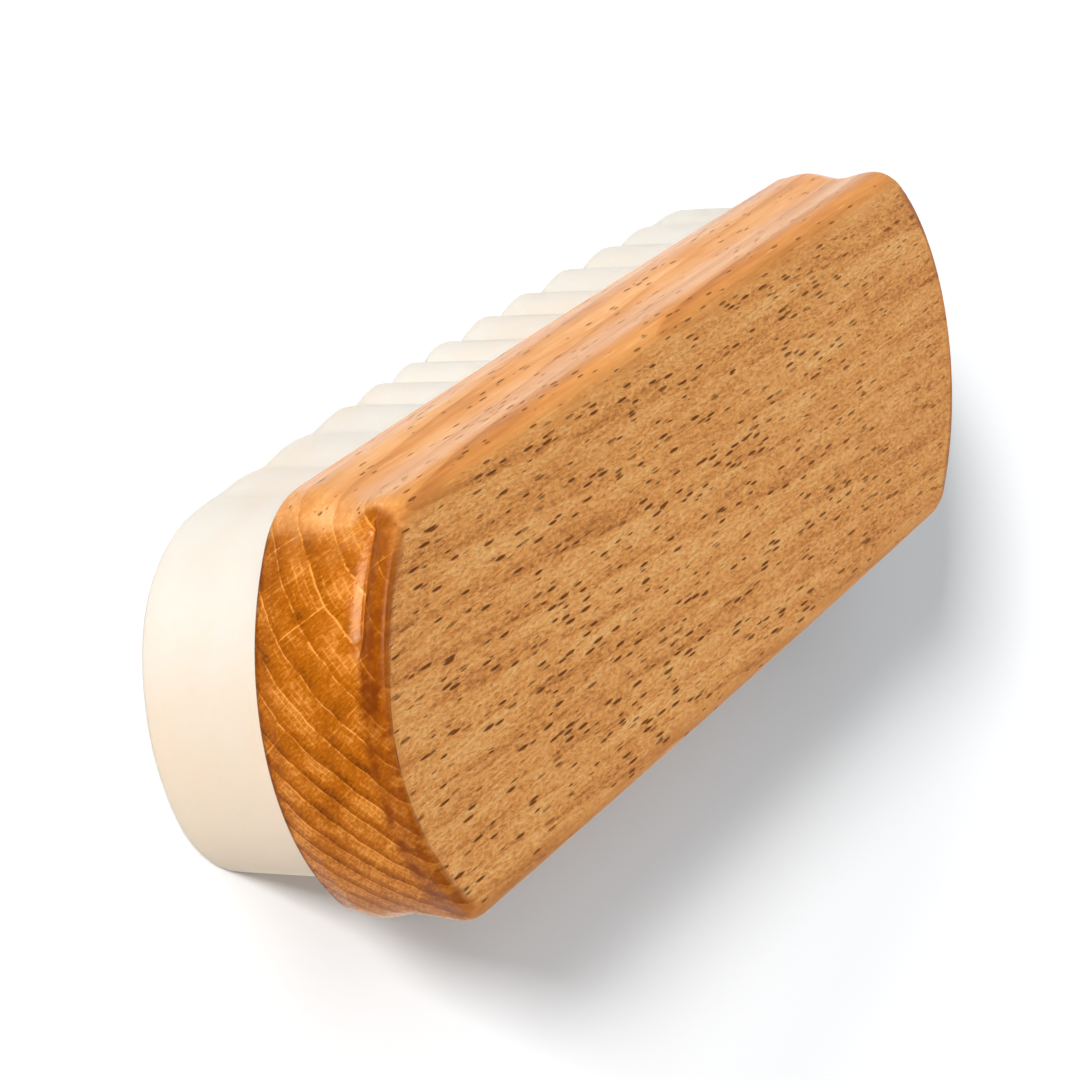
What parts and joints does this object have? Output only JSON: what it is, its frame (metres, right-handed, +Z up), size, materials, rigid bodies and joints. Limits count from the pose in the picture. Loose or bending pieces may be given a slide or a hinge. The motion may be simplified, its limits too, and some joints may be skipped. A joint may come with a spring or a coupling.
{
  "type": "suede crepe brush",
  "caption": "Hand brush for suede and nubuck: a moulded beech block with bowed ends that carries a fluted pad of natural crepe rubber.",
  "frame": {"origin": "centre of the bounding box's bottom face: the middle of the pad's working face, on the surface the brush stands on", "axes": "+X along the block's length, +Y across it, +Z up from the working face to the block's flat back"},
  "size_m": [0.1308, 0.0428, 0.0264],
  "materials": {
    "lacquered_beech": "clear satin lacquer over straight-grained beech, glossier on the mouldings than on the flat back",
    "crepe": "matt cream natural crepe rubber, slightly translucent",
    "sheet_crepe": "matt natural crepe sheet, a little darker than the pad",
    "tack_steel": "plain bright steel"
  },
  "bodies": {
    "root": {"backing_sheet": "sheet_crepe", "crepe_folded_core": "crepe", "crepe_outer_band": "crepe", "tack_1": "tack_steel", "tack_2": "tack_steel", "tack_3": "tack_steel", "tack_4": "tack_steel", "wooden_block": "lacquered_beech"}
  },
  "joints": []
}
